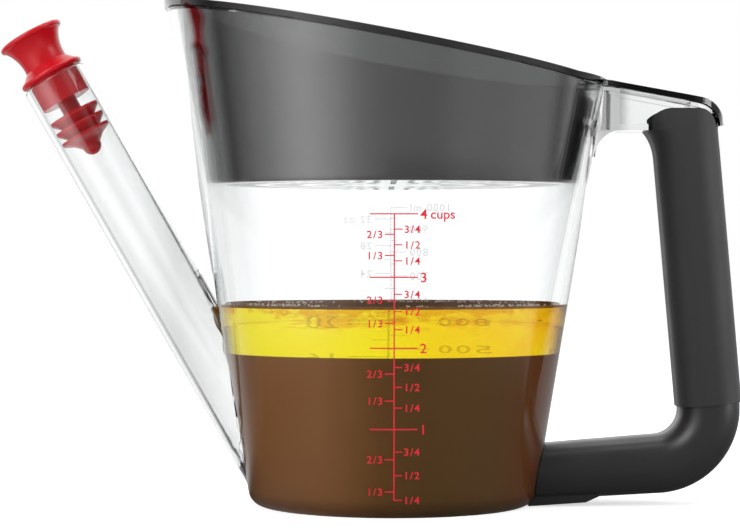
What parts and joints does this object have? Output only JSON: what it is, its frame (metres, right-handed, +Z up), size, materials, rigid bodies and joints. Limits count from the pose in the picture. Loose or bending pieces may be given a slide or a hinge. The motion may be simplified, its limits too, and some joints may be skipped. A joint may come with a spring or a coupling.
{
  "type": "gravy fat separator",
  "caption": "Clear conical jug with a slanted spout from its foot, a lift-out strainer lid, a pull-out stopper and a black handle.",
  "frame": {"origin": "centre of the jug's foot on the table", "axes": "+Z up along the jug's axis, +X towards the handle, the spout towards -X, -Y the side with the cup scale"},
  "size_m": [0.2529, 0.1512, 0.1715],
  "materials": {
    "clear_plastic": "polished clear moulding",
    "smoke_plastic": "polished dark translucent moulding",
    "red_silicone": "satin moulded silicone",
    "black_plastic": "fine satin moulding",
    "soft_black": "matte soft-touch"
  },
  "bodies": {
    "jug": {"pitcher": "clear_plastic", "handle_frame": "black_plastic", "grip_sleeve": "soft_black"},
    "lid": {"strainer": "smoke_plastic"},
    "stopper": {"spout_stopper": "red_silicone"}
  },
  "joints": [
    {"name": "strainer_lift", "type": "slide", "parent": "jug", "child": "lid", "axis": [0, 0, 1], "range_m": [0, 0.075]},
    {"name": "stopper_pull", "type": "slide", "parent": "jug", "child": "stopper", "axis": [-0.4924, 0, 0.8704], "range_m": [0, 0.05]}
  ]
}
